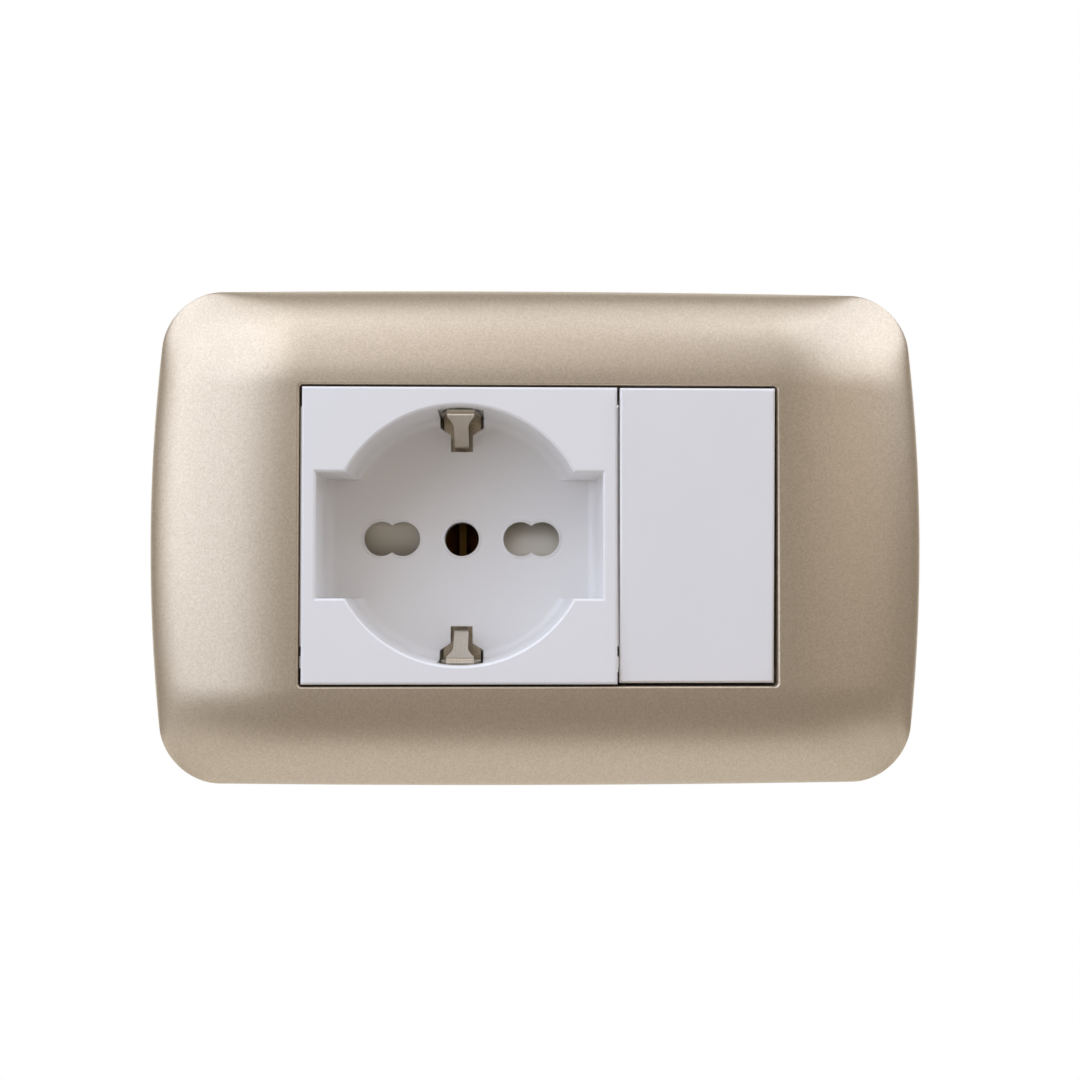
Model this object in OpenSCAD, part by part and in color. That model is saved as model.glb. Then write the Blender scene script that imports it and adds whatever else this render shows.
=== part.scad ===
// Flush earthed socket outlet, two modules wide, with a one-module rocker switch beside it.
// Both clip into a three-module mounting frame under a pillow-shaped cover plate.
// X runs right, Z up and Y into the wall. The origin lies on the wall, midway between the box screws.

/* [Module row] */
// How far the faces stand out from the wall
face_stand = 9.2; // [8.6:0.1:10]
// Depth of the shoulder behind a face, down to the frame's collar
shoulder_depth = 5.8; // [5.4:0.1:6.2]
// Width of the shoulder above and below a module's body
shoulder_w = 1.6; // [1.4:0.1:2]
// Gap between the faces of two modules in the row
module_gap = 0.3; // [0.2:0.05:0.6]
// Slack between a module body and the frame's opening, at each side
body_slack = 0.3; // [0.1:0.05:0.5]

/* [Cover plate] */
// Width of the plate's band left and right of the row
side_band = 24; // [20:0.5:30]
// Height of the plate's band above and below the row
end_band = 16; // [13:0.5:20]
// Gap between the faces and the plate's window, at each side
window_gap = 0.35; // [0.25:0.05:0.6]
// How far the plate's crown lies below the faces
plate_drop = 0.2; // [0:0.05:0.6]
// Corner radius of the plate's outline
plate_corner_r = 8.6; // [5:0.2:12]
// How far the left and right sides bow out between corner and middle
side_bow = 2.6; // [0:0.1:4]
// How far the top and bottom sides bow out
top_bow = 0.5; // [0:0.1:2]
// Height of the plate's edge where its outline is widest
edge_h = 1.3; // [0.8:0.1:2.4]
// Wall thickness of the plate's skin
plate_wall = 1.8; // [1.4:0.1:2.2]
// Radius of the window's front edge
lip_r = 0.28; // [0.1:0.02:0.5]
// Fullness of the pillow across the band: higher keeps it flat for longer
pillow_reach = 2.3; // [1.8:0.1:3.2]
// Fullness of the pillow at its edge: higher turns down more sharply
pillow_edge = 1.75; // [1.3:0.05:2.4]

/* [Mounting frame] */
// Distance from the end of the row to a box screw
screw_offset = 5.75; // [5.5:0.05:6.5]
// How far the frame stays inside the plate's left and right sides
frame_side_inset = 6; // [5:0.5:8]
// How far the frame stays inside the plate's top and bottom
frame_end_inset = 4; // [3.5:0.5:5]
// Thickness of the frame's flange on the wall
frame_t = 1.6; // [1.4:0.1:2]
// Width of the frame's collar, on which the modules and the plate sit
collar_t = 2; // [1.9:0.05:2.1]
// How far the collar reaches behind the wall line
collar_back = 3; // [2:0.5:4]
// Radius of a box screw's shank
box_screw_r = 1.7; // [1.5:0.05:1.9]
// Length of a box screw under its head
box_screw_len = 25; // [20:1:30]
// Radius of a box screw's head
box_head_r = 3.1; // [2.8:0.1:3.2]
// Height of a box screw's head
box_head_h = 2; // [1.6:0.1:2.4]

/* [Socket well] */
// Diameter of the round well
well_d = 39.5; // [39.2:0.1:39.7]
// Depth of the well below the face
well_depth = 17.5; // [17:0.1:18]
// Thinnest wall above and below the well
end_wall = 1.15; // [1:0.05:1.6]
// How far a side notch reaches beyond the round wall
notch_reach = 1.95; // [1.5:0.05:2.2]
// Wall between a side notch and the edge of the face
notch_wall = 2.15; // [1.9:0.05:2.6]
// Height of the side notches
notch_h = 19.1; // [18.5:0.1:20]
// Thickness of the well's floor
floor_t = 1.6; // [1.4:0.1:2]
// Wall of the well and of the socket's mouldings
wall_t = 1.4; // [1.2:0.1:1.6]
// Fillet between the well's wall and its floor
floor_fillet = 1.6; // [1:0.1:2]
// Bevel at the well's mouth and the face's edges
edge_bevel = 0.3; // [0.15:0.05:0.4]

/* [Socket holes and contacts] */
// Spacing of the thin pins
pin_spacing = 19; // [18.8:0.1:19.2]
// Spacing of the thick pins
wide_spacing = 26; // [25.4:0.1:26.2]
// Radius of the pin holes and of the earth hole
hole_r = 2.77; // [2.6:0.01:2.85]
// Width of the raised rim round a hole
rim_w = 0.4; // [0.3:0.05:0.7]
// Height of the raised rim
rim_h = 0.2; // [0.15:0.05:0.4]
// Length of the pins behind the well's floor
pin_len = 19; // [18:0.5:19.5]
// Thickness of the contact sheet
sheet_t = 0.6; // [0.4:0.05:0.7]
// Clear gap between a contact's two leaves at their pinch
pinch_gap = 3.8; // [3.4:0.1:4.2]
// Clear gap between the earth contact's two leaves
earth_gap = 1.2; // [0.8:0.1:2]
// Width of an earth clip's tongue
tongue_w = 2.3; // [2:0.1:2.8]
// Width of an earth clip at its fold
fold_w = 4.2; // [3.8:0.1:4.8]
// Width of the strap that joins the two clips
strap_w = 8.4; // [7.8:0.2:8.8]
// Radial clearance of turning fits
turn_gap = 0.08; // [0.04:0.01:0.1]

/* [Shutter] */
// Angle that one wing covers
wing_angle = 40; // [38:1:42]
// Thickness of the shutter
shutter_t = 3.4; // [3:0.1:3.8]
// Free depth left before and behind the shutter
shutter_gap = 0.25; // [0.2:0.05:0.4]

/* [Rocker switch] */
// How much narrower the rocker is than its module's pitch
rocker_side_gap = 0.5; // [0.4:0.05:0.8]
// How much lower the rocker is than the module's face
rocker_end_gap = 0.3; // [0.2:0.05:0.6]
// Tilt of the rocker at either end of its travel
rocker_tilt = 2.5; // [2:0.1:2.8]
// Depth of the rocker's axle behind its face
axle_depth = 3.8; // [3.6:0.1:4]
// Height of the rocker's axle above the row's middle
axle_rise = 0.15; // [0:0.05:0.2]
// Radius of the rocker's axle
axle_r = 1; // [0.9:0.05:1.1]
// Depth of the rocker's skirt
skirt_depth = 3.6; // [3.2:0.1:3.7]
// Tilt of the see-saw contact at either end of its travel
blade_tilt = 6; // [5:0.5:7]

/* [Terminals] */
// Length of a clamp cage along the wire
cage_len = 4.6; // [4:0.1:5]
// Radius of a terminal screw's shank
clamp_screw_r = 1.5; // [1.4:0.05:1.6]
// Radius of a terminal screw's head
clamp_head_r = 2.7; // [2.5:0.1:2.9]
// Outer width of a clamp cage
cage_w = 6.8; // [6.4:0.1:7.2]
// Wall of a clamp cage
cage_t = 1.1; // [1:0.05:1.2]
// Radius of a wire entry
wire_r = 1.9; // [1.6:0.05:2.1]

/* [Hidden] */

$fn = 64;
eps = 0.01;

// Module row: the socket's face takes two pitches, and its height holds the well and the shutter
well_r = well_d / 2;
notch_w = well_d + 2 * notch_reach;
socket_w = notch_w + 2 * notch_wall;
module_pitch = (socket_w + module_gap) / 2;
inner_x = pin_spacing / 2;
outer_x = wide_spacing / 2;
cavity_r = outer_x + hole_r + 2.2;
body_h = 2 * max(well_r + end_wall, cavity_r + wall_t);
module_h = body_h + 2 * shoulder_w;

// Places along the row
socket_x = -module_pitch / 2;
switch_x = module_pitch;

// Depths, from the faces back into the wall
y_face = -face_stand;
y_crown = y_face + plate_drop;
y_seat = y_face + shoulder_depth;
y_floor = y_face + well_depth;
y_floor_back = y_floor + floor_t;
y_shutter = y_floor_back + shutter_gap;
y_shutter_back = y_shutter + shutter_t;
y_strap = y_shutter_back + shutter_gap;
y_cover = y_strap + sheet_t;
cover_t = 1.3;
y_contact = y_cover + cover_t + 0.2;
y_web = y_floor + pin_len + 0.6;
y_base_back = y_web + sheet_t + 2.6;

// Window and plate
window_w = 3 * module_pitch - 0.1 + 2 * window_gap;
window_h = module_h + 2 * window_gap;
window_r = 0.6;
plate_w = 3 * module_pitch + 2 * side_band;
plate_h = module_h + 2 * end_band;
frame_w = plate_w - 2 * frame_side_inset;
frame_h = plate_h - 2 * frame_end_inset;
fixing_pitch = 3 * module_pitch + 2 * screw_offset;

// Socket body
socket_body_w = socket_w - 0.5;
body_corner_r = 0.8;
slot_half_w = 3.5;
throat_half_w = 1.75;
throat_z = well_r - 5.65;
leg_half_w = 3.1;
leg_z = well_r - 0.25;
clip_slot_z = leg_z + 0.6;
y_clip = y_face + 4.1;
boss_x = socket_body_w / 2 - 4.2;
boss_z = body_h / 2 - 4.3;
boss_r = 2.6;
socket_screw_r = 1.25;
socket_head_r = 2.3;
thread_gap = 0.02;
strap_hole_gap = 0.4;
strap_hole_r = hole_r + strap_hole_gap;
strip_half_w = strap_hole_r + sheet_t;
strip_half_h = 9.2;
leaf_half_h = hole_r + 0.6;
hub_boss_r = hole_r + 0.73;
hub_bore_r = hub_boss_r + turn_gap;
hub_r = inner_x - hole_r - 0.3;
hub_pocket_r = hub_r - 1;
hub_pocket_depth = 1.6;

// Rocker and the body of the switch
rocker_w = module_pitch - rocker_side_gap;
rocker_h = module_h - rocker_end_gap;
switch_w = rocker_w - 0.4;
switch_body_w = rocker_w - 0.6;

// Terminals of the socket and the switch
tab_half_w = cage_w / 2 - cage_t - 0.2;
clamp_head_h = 2.1;
clamp_head_z = body_h / 2 - 0.4;
cage_h = 7.2;
cage_z1 = clamp_head_z - clamp_head_h - 1.8;
cage_z0 = cage_z1 - cage_h;
tab_z = cage_z0 + cage_t + sheet_t / 2;
clamp_open = 0.3;
wire_z = (tab_z + sheet_t / 2 + cage_z1 - cage_t) / 2;
live_x = (inner_x + outer_x) / 2;
socket_clamp_y = y_web - cage_len / 2 - 1.7;
switch_clamp_x = switch_body_w / 2 - cage_w / 2 - wall_t - 1.25;

// Rocker mechanism
y_axle = y_face + axle_depth;
top_t = 1.6;
cheek_t = 1.5;
cheek_x = rocker_w / 2 - 3.05;
cradle_half_w = cheek_x - 0.7;
cradle_half_h = rocker_h / 5;
cradle_y1 = top_t + 1.2 - axle_depth;
hook_half_w = 3;
plunger_r = 1.4;
barrel_r = plunger_r + 1;
barrel_floor = 2.5;
barrel_end = 10;
plunger_back = barrel_end - 3.1;
plunger_tip = 14;
blade_t = 0.7;
y_blade = y_axle + plunger_tip + 0.6;
contact_z = 6.2;
contact_r = 1.1;
contact_h = 0.6;
blade_half_w = 2.6;
blade_half_h = contact_z + contact_r + 0.3;
shelf_half_w = 2 * contact_r;
shelf_z = axle_rise + contact_z;
shelf_half_h = 2;
y_shelf = y_blade + contact_z * sin(blade_tilt) + blade_t / 2 + 2 * contact_h + 0.25;
y_upright = y_shelf + sheet_t + 0.1 + cage_len + 0.2;
switch_clamp_y = y_upright - 0.2 - cage_len / 2;
switch_lid_t = 3;
switch_lip_t = 1.2;
switch_depth = y_upright + sheet_t + 0.05 + switch_lip_t + switch_lid_t;

// Extrudes a front view, drawn in X and Z, from one depth to another
module into_wall(y0, y1) {
  translate([0, y1, 0])
    rotate([90, 0, 0])
      linear_extrude(y1 - y0)
        children();
}

// Extrudes a side view, drawn in Y and Z, from one X to another
module across(x0, x1) {
  translate([x0, 0, 0])
    rotate([90, 0, 90])
      linear_extrude(x1 - x0)
        children();
}

// Rectangle about the origin with round corners
module soft_rect(w, h, r) {
  for (sx = [-1, 1])
    for (sz = [-1, 1])
      translate([sx * (w / 2 - r), sz * (h / 2 - r)])
        circle(r);
  square([w - 2 * r, h], center = true);
  square([w, h - 2 * r], center = true);
}

// Box between two corners
module span(a, b) {
  translate(a)
    cube(b - a);
}

// Unit vector of a step from a to b, and the normal that lies at its left
function unit(a, b) = (b - a) / norm(b - a);
function left_of(d) = [-d[1], d[0]];

// Outline of a sheet of thickness t that follows a path of its own middle line
function bisector(path, i) =
  let (
    n = len(path),
    before = unit(path[max(i - 1, 0)], path[max(i, 1)]),
    after = unit(path[min(i, n - 2)], path[min(i + 1, n - 1)]),
    m = left_of(before) + left_of(after)
  ) m * 2 / (m * m);
function sheet_outline(path, t) = concat(
  [for (i = [0:len(path) - 1]) path[i] + bisector(path, i) * t / 2],
  [for (i = [len(path) - 1:-1:0]) path[i] - bisector(path, i) * t / 2]
);
function arc_points(c, r, a0, a1, n) = [
  for (i = [0:n]) c + r * [cos(a0 + (a1 - a0) * i / n), sin(a0 + (a1 - a0) * i / n)]
];

// Closed tube of the given radius along a list of points in space
function tube_frame(path, i) =
  let (
    n = len(path),
    t = unit(path[max(i - 1, 0)], path[min(i + 1, n - 1)]),
    side = abs(t[1]) > 0.9 ? [1, 0, 0] : [0, 1, 0],
    u = cross(t, side) / norm(cross(t, side))
  ) [u, cross(t, u)];
module wire(path, r, sides = 8) {
  n = len(path);
  points = [
    for (i = [0:n - 1])
      let (f = tube_frame(path, i))
        for (k = [0:sides - 1]) path[i] + r * (cos(360 * k / sides) * f[0] + sin(360 * k / sides) * f[1])
  ];
  skin = [
    for (i = [0:n - 2])
      for (k = [0:sides - 1])
        let (a = i * sides + k, b = i * sides + (k + 1) % sides)
          for (f = [[a, a + sides, b], [b, a + sides, b + sides]]) f
  ];
  caps = [[for (k = [0:sides - 1]) k], [for (k = [sides - 1:-1:0]) (n - 1) * sides + k]];
  polyhedron(points, concat(skin, caps));
}

// Plate outline: a rounded rectangle whose sides bow out, as points in order round it
corner_steps = 7;
function side_steps(q) = q % 2 == 0 ? 12 : 8;
function round_rect(w, h, r) = [
  for (q = [0:3])
    let (
      cx = (q == 0 || q == 3 ? 1 : -1) * (w / 2 - r),
      cz = (q < 2 ? 1 : -1) * (h / 2 - r),
      nx = (q == 2 || q == 3 ? 1 : -1) * (w / 2 - r),
      nz = (q == 0 || q == 3 ? 1 : -1) * (h / 2 - r),
      a0 = 90 * q,
      end = [cx + r * cos(a0 + 90), cz + r * sin(a0 + 90)],
      next = [nx + r * cos(a0 + 90), nz + r * sin(a0 + 90)]
    )
      for (i = [0:corner_steps + side_steps(q) - 1])
        i <= corner_steps
          ? [cx + r * cos(a0 + 90 * i / corner_steps), cz + r * sin(a0 + 90 * i / corner_steps)]
          : end + (next - end) * (i - corner_steps) / side_steps(q)
];
function bowed(p, w, h) = [
  p[0] * (1 - 2 * side_bow / w * pow(2 * p[1] / h, 2)),
  p[1] * (1 - 2 * top_bow / h * pow(2 * p[0] / w, 2))
];

// Height of the plate's front over the wall at share s of the way from window to edge
function pillow(s) = edge_h + (-y_crown - edge_h) * pow(1 - pow(s, pillow_reach), 1 / pillow_edge);
rim_s = 0.93;
wall_s = 0.085;
function hollow(s) = (-y_crown - plate_wall) * pow(1 - pow(s / rim_s, pillow_reach), 1 / pillow_edge);

module plate_shell() {
  window = round_rect(window_w, window_h, window_r);
  outer = [for (p = round_rect(plate_w, plate_h, plate_corner_r)) bowed(p, plate_w, plate_h)];
  lip_s = 2 * lip_r / (plate_h - window_h);
  front = [0.1, 0.2, 0.3, 0.4, 0.5, 0.6, 0.7, 0.8, 0.87, 0.92, 0.96, 0.985, 1];
  rings = concat(
    [[0, y_seat], [0, y_crown + lip_r], [lip_s * 0.3, y_crown + lip_r * 0.3], [lip_s, y_crown]],
    [for (s = front) [s, -pillow(s)]],
    [[0.99, 0], [rim_s, 0]],
    [for (s = [0.9, 0.84, 0.72, 0.56, 0.36, wall_s]) [s, -hollow(s)]],
    [[wall_s, y_seat]]
  );
  n = len(window);
  m = len(rings);
  points = [
    for (ring = rings)
      for (k = [0:n - 1])
        let (p = window[k] + ring[0] * (outer[k] - window[k])) [p[0], ring[1], p[1]]
  ];
  faces = [
    for (j = [0:m - 1])
      for (k = [0:n - 1])
        let (
          a = j * n + k,
          b = j * n + (k + 1) % n,
          c = ((j + 1) % m) * n + k,
          d = ((j + 1) % m) * n + (k + 1) % n
        )
          for (f = [[a, b, c], [b, d, c]]) f
  ];
  polyhedron(points, faces);
}

// Ratchet posts of the frame and the plate's arms that catch on them
post_x = frame_w / 2 - 7;
post_z = frame_h / 2 - 7.5;
post_h = 2.6;
post_w = 4;
post_t = 1.6;
tooth_h = 0.5;
tooth_pitch = 0.8;
y_post = -frame_t - post_h;
arm_t = 1.4;
arm_gap = 0.2;
arm_x = post_t / 2 + arm_gap;

// Outline of an arm from above: its one tooth lies behind the post's first
function snap_arm(y_root) = [
  [arm_x, y_root], [arm_x, y_post + tooth_pitch + 0.15], [arm_x - tooth_h + 0.15, y_post + tooth_pitch + 0.2],
  [arm_x, y_post + 2 * tooth_pitch - 0.15], [arm_x, -frame_t - 0.3], [arm_x + arm_t, -frame_t - 0.3],
  [arm_x + arm_t, y_root]
];

module cover_plate() {
  arm_share = (2 * (post_x + arm_x + arm_t / 2) - window_w) / (plate_w - window_w);
  color([0.78, 0.72, 0.62]) {
    union() {
      plate_shell();
      for (sx = [-1, 1])
        for (sz = [-1, 1])
          translate([sx * post_x, 0, sz * post_z - post_w / 2])
            linear_extrude(post_w)
              polygon([for (p = snap_arm(-hollow(arm_share) - plate_wall / 2)) [sx * p[0], p[1]]]);
    }
  }
}

flange_rim_t = 1;
flange_rim_h = 0.8;
wall_hole_r = 2.1;
wall_hole_inset = 6.5;

module mounting_frame() {
  open_w = 3 * module_pitch + 2 * body_slack - 0.8;
  open_h = body_h + 2 * body_slack;
  collar_w = window_w + 1.7 * collar_t;
  collar_h = window_h + 1.25 * collar_t;
  color([0.32, 0.33, 0.34]) {
    difference() {
      union() {
        into_wall(-frame_t, 0)
          soft_rect(frame_w, frame_h, 5);
        // Stiffening rim and ribs on the flange's front
        into_wall(-frame_t - flange_rim_h, -frame_t + eps)
          union() {
            difference() {
              soft_rect(frame_w, frame_h, 5);
              soft_rect(frame_w - 2 * flange_rim_t, frame_h - 2 * flange_rim_t, 5 - flange_rim_t);
            }
            for (sx = [-1, 1])
              for (sz = [-1, 1])
                translate([sx * (frame_w + collar_w) / 4, sz * 7])
                  square([(frame_w - collar_w) / 2, flange_rim_t], center = true);
            for (i = [-3:3])
              for (sz = [-1, 1])
                translate([i * module_pitch / 2, sz * (frame_h + collar_h) / 4])
                  square([flange_rim_t, (frame_h - collar_h) / 2], center = true);
          }
        into_wall(y_seat, 0)
          soft_rect(collar_w, collar_h, 1);
        into_wall(0, collar_back)
          soft_rect(open_w + 2.6, open_h + 2.6, 1);
        for (sx = [-1, 1])
          for (sz = [-1, 1])
            translate([sx * post_x, 0, sz * post_z])
              ratchet_post(sx);
      }
      into_wall(y_seat - 1, collar_back + 1)
        square([open_w, open_h], center = true);
      for (sx = [-1, 1])
        translate([sx * fixing_pitch / 2, 0, 0]) {
          into_wall(-frame_t - 1, 1)
            union() {
              for (dx = [-1, 1])
                translate([dx * 0.9, 0])
                  circle(box_screw_r + 0.3);
              square([1.8, 2 * box_screw_r + 0.6], center = true);
            }
        }
      for (sx = [-1, 1])
        for (sz = [-1, 1])
          into_wall(-frame_t - 1, 1)
            translate([sx * (frame_w / 2 - wall_hole_inset), sz * frame_h / 6])
              circle(wall_hole_r);
    }
  }
}

// Post with three ratchet teeth on its outer side
module ratchet_post(side) {
  half_t = post_t / 2;
  translate([0, 0, -post_w / 2])
    linear_extrude(post_w)
      polygon(concat(
        [[-side * half_t, -frame_t + eps], [-side * half_t, y_post]],
        [for (i = [0:2]) for (p = [[half_t - tooth_h, 0], [half_t, 0.75 * tooth_pitch]])
          [side * p[0], y_post + i * tooth_pitch + p[1]]],
        [[side * half_t, -frame_t + eps]]
      ));
}

// Box screw with a slotted pan head under the plate and a neck that ends just behind the wall line
module box_screw(x) {
  y_head = -frame_t - box_head_h;
  y_thread = 0.3;
  neck_r = box_screw_r - 0.25;
  color([0.78, 0.78, 0.76]) {
    translate([x, 0, 0])
      difference() {
        union() {
          into_wall(y_head, -frame_t)
            circle(box_head_r);
          into_wall(-frame_t - eps, y_thread + eps)
            circle(neck_r);
          into_wall(y_thread, -frame_t + box_screw_len - 1.5)
            circle(box_screw_r);
          translate([0, -frame_t + box_screw_len, 0])
            rotate([90, 0, 0])
              cylinder(h = 1.5, r1 = box_screw_r * 0.55, r2 = box_screw_r);
        }
        span([-box_head_r, y_head - 1, -0.5], [box_head_r, y_head + 1.1, 0.5]);
      }
  }
}
module box_screw_left() {
  box_screw(-fixing_pitch / 2);
}
module box_screw_right() {
  box_screw(fixing_pitch / 2);
}

// The two lobes of one pin hole, as a front view
module pin_lobes(side, r) {
  for (x = [inner_x, outer_x])
    translate([side * x, 0])
      circle(r);
}

// Opening of an earth clip in the floor, as a front view
module clip_opening() {
  flare_z = throat_z + 2.7;
  polygon([
    [-throat_half_w, throat_z], [throat_half_w, throat_z], [throat_half_w, flare_z],
    [slot_half_w, flare_z + 1.2], [slot_half_w, clip_slot_z], [-slot_half_w, clip_slot_z],
    [-slot_half_w, flare_z + 1.2], [-throat_half_w, flare_z]
  ]);
}

// The well: a round cavity and two side notches, with a fillet at the floor and a bevel at the mouth
module well_cavity() {
  f = floor_fillet;
  translate([0, y_floor, 0])
    rotate([90, 0, 0])
      rotate_extrude($fn = 128)
        polygon(concat(
          [[0, 0]],
          arc_points([well_r - f, f], f, -90, 0, 8),
          [[well_r, well_depth - edge_bevel], [well_r + edge_bevel + eps, well_depth + eps], [0, well_depth + eps]]
        ));
  translate([0, 0, -notch_h / 2])
    linear_extrude(notch_h)
      polygon(concat(
        [[-notch_w / 2, y_face - eps]],
        [for (p = arc_points([0, 0], f, 180, 90, 6)) [p[0] - notch_w / 2 + f, p[1] + y_floor - f]],
        [for (p = arc_points([0, 0], f, 90, 0, 6)) [p[0] + notch_w / 2 - f, p[1] + y_floor - f]],
        [[notch_w / 2, y_face - eps]]
      ));
  hull() {
    into_wall(y_face - eps, y_face)
      square([notch_w + 2 * edge_bevel, notch_h + 2 * edge_bevel], center = true);
    into_wall(y_face + edge_bevel, y_face + edge_bevel + eps)
      square([notch_w, notch_h], center = true);
  }
}

// Face block with a bevelled front edge
module face_block() {
  hull() {
    into_wall(y_face, y_face + eps)
      square([socket_w - 2 * edge_bevel, module_h - 2 * edge_bevel], center = true);
    into_wall(y_face + edge_bevel, y_face + edge_bevel + eps)
      square([socket_w, module_h], center = true);
  }
  into_wall(y_face + edge_bevel, y_seat)
    square([socket_w, module_h], center = true);
}

module socket_front() {
  pocket_w = socket_body_w - 2 * wall_t;
  pocket_h = body_h - 2 * wall_t;
  rib_t = 0.28;
  color([0.93, 0.92, 0.91]) {
    translate([socket_x, 0, 0])
      difference() {
        union() {
          difference() {
            union() {
              face_block();
              into_wall(y_seat - eps, y_floor_back)
                soft_rect(socket_body_w, body_h, body_corner_r);
            }
            well_cavity();
            // Corner pockets behind the face
            into_wall(y_face + 1.8, y_floor_back + 1)
              difference() {
                square([pocket_w, pocket_h], center = true);
                circle(well_r + wall_t);
                square([notch_w + 2 * wall_t, notch_h + 2 * wall_t], center = true);
              }
          }
          // Screw bosses in two opposite corners
          for (s = [-1, 1])
            translate([s * boss_x, 0, s * boss_z])
              into_wall(y_face + 1.8 - eps, y_floor_back)
                circle(boss_r);
          // Raised rims round the holes, sloping down to the floor
          for (x = [-outer_x, -inner_x, 0, inner_x, outer_x])
            translate([x, y_floor + eps, 0])
              rotate([90, 0, 0])
                cylinder(h = rim_h + eps, r1 = hole_r + rim_w, r2 = hole_r + rim_w / 2);
          // Bearing of the shutter, round the earth hole
          into_wall(y_floor_back - eps, y_shutter_back)
            circle(hub_boss_r);
          // Spacer ribs on the sides, just below the face
          for (s = [-1, 1])
            translate([s * socket_w / 2, 0, 0]) {
              span([-rib_t, y_face + 1, 5.7 - module_h / 2], [rib_t, y_seat, module_h / 2 - 3]);
              span([-rib_t, y_face + 1, 2.4 - module_h / 2], [rib_t, y_seat, 4.2 - module_h / 2]);
            }
          // Snap teeth behind the frame's collar
          for (s = [-1, 1])
            for (dx = [-1, 1])
              translate([dx * (socket_w / 2 - 8.85), 0, 0])
                snap_tooth(s);
        }
        into_wall(y_floor - 1, y_floor_back + 1) {
          pin_lobes(-1, hole_r);
          pin_lobes(1, hole_r);
        }
        into_wall(y_floor - 1, y_shutter_back + 1)
          circle(hole_r);
        for (s = [0, 180])
          rotate([0, s, 0]) {
            into_wall(y_floor - 1, y_floor_back + 1)
              clip_opening();
            span([-slot_half_w, y_clip, well_r - 3], [slot_half_w, y_floor + eps, clip_slot_z]);
          }
        for (s = [-1, 1])
          translate([s * boss_x, 0, s * boss_z])
            into_wall(y_face + 4, y_floor_back + 1)
              circle(socket_screw_r + thread_gap);
      }
  }
}

// Ramped tooth on top or bottom of a module body, behind the frame's collar
module snap_tooth(side) {
  y0 = collar_back + 0.1;
  across(-2.5, 2.5)
    polygon([
      [y0, side * (body_h / 2 - 0.3)], [y0, side * (body_h / 2 + 0.9)],
      [y0 + 0.5, side * (body_h / 2 + 0.9)], [y0 + 3, side * (body_h / 2 - 0.3)]
    ]);
}

// Rear moulding: three chambers with wire entries behind and screw openings on top
module socket_base() {
  y_cavity = y_cover + cover_t;
  y_wall = y_base_back - 1.6;
  chamber_half_w = cage_w / 2 + 0.4;
  color([0.88, 0.87, 0.84]) {
    translate([socket_x, 0, 0])
      difference() {
        into_wall(y_floor_back, y_base_back)
          soft_rect(socket_body_w, body_h, body_corner_r);
        // Space of the shutter, the strap and the cover over the contacts
        into_wall(y_floor_back - 1, y_cavity)
          circle(cavity_r, $fn = 96);
        into_wall(y_floor_back - 1, y_cover)
          square([strap_w + 0.4, 2 * (leg_z + 0.7)], center = true);
        // Chambers of the three contacts
        for (x = [-live_x, live_x])
          span([x - 5, y_cavity - eps, -4.4], [x + 5, y_wall, cage_z1 + 0.3]);
        span([-chamber_half_w, y_cavity - eps, -4.4], [chamber_half_w, y_wall, cage_z1 + 0.3]);
        // Hollow below the contacts, open to the front
        for (s = [-1, 1])
          span([s * 8 - 6.4, y_cavity - eps, 2 - body_h / 2], [s * 8 + 6.4, y_wall - 6, -6]);
        // Wire entries and screw openings
        for (x = [-live_x, 0, live_x]) {
          translate([x, 0, wire_z])
            into_wall(y_wall - 1, y_base_back + 1)
              circle(wire_r);
          translate([x, socket_clamp_y, cage_z1])
            cylinder(h = body_h, r = clamp_head_r + 0.4);
        }
        // Sloping lower rear edge
        across(-socket_w, socket_w)
          polygon([
            [y_base_back + 1, -7], [y_base_back, -8], [y_base_back - 8, -body_h / 2 + 2],
            [y_base_back - 8, -body_h / 2 - 1], [y_base_back + 1, -body_h / 2 - 1]
          ]);
        // Screw passages
        for (s = [-1, 1])
          translate([s * boss_x, 0, s * boss_z]) {
            into_wall(y_floor_back - 1, y_base_back + 1)
              circle(socket_screw_r + 0.15);
            into_wall(y_base_back - 10, y_base_back + 1)
              circle(socket_head_r + 0.25);
          }
      }
  }
}

// Screws that hold the two mouldings together, with their heads at the back
module socket_screw(side) {
  y_head = y_base_back - 10;
  color([0.72, 0.72, 0.7]) {
    translate([socket_x + side * boss_x, 0, side * boss_z])
      difference() {
        union() {
          into_wall(y_head, y_head + 1.6)
            circle(socket_head_r);
          into_wall(y_face + 6, y_head + eps)
            circle(socket_screw_r);
        }
        span([-0.35, y_head + 0.7, -socket_head_r], [0.35, y_head + 2, socket_head_r]);
        span([-socket_head_r, y_head + 0.7, -0.35], [socket_head_r, y_head + 2, 0.35]);
      }
  }
}
module socket_screw_upper() {
  socket_screw(1);
}
module socket_screw_lower() {
  socket_screw(-1);
}

// Insulating disc between the shutter and the contacts
module contact_cover() {
  color([0.9, 0.89, 0.86]) {
    translate([socket_x, 0, 0])
      difference() {
        into_wall(y_cover, y_cover + cover_t)
          circle(cavity_r - 0.1, $fn = 96);
        into_wall(y_cover - 1, y_cover + cover_t + 1) {
          pin_lobes(-1, hole_r);
          pin_lobes(1, hole_r);
          square([2 * strip_half_w + 0.6, 2 * strip_half_h + 0.6], center = true);
        }
      }
  }
}

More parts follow.
